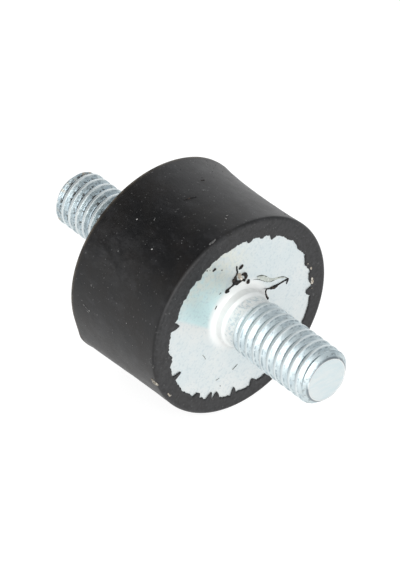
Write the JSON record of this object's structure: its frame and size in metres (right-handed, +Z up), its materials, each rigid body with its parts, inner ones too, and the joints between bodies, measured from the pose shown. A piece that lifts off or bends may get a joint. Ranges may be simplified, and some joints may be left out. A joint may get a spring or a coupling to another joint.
{
  "type": "rubber vibration mount",
  "caption": "Short black rubber cylinder with a zinc-plated threaded stud standing out of each end, bonded as one part to isolate an air filter from its bracket.",
  "frame": {"origin": "middle of the rubber body, on the axis of the studs", "axes": "+X along the axis, out of the front stud; +Z up with the mount lying on its side"},
  "size_m": [0.051, 0.0286, 0.0286],
  "materials": {
    "rubber": "matt, as moulded",
    "zinc": "bright zinc plate"
  },
  "bodies": {
    "root": {"rubber_body": "rubber", "front_stud_plate": "zinc", "rear_stud_plate": "zinc"}
  },
  "joints": []
}
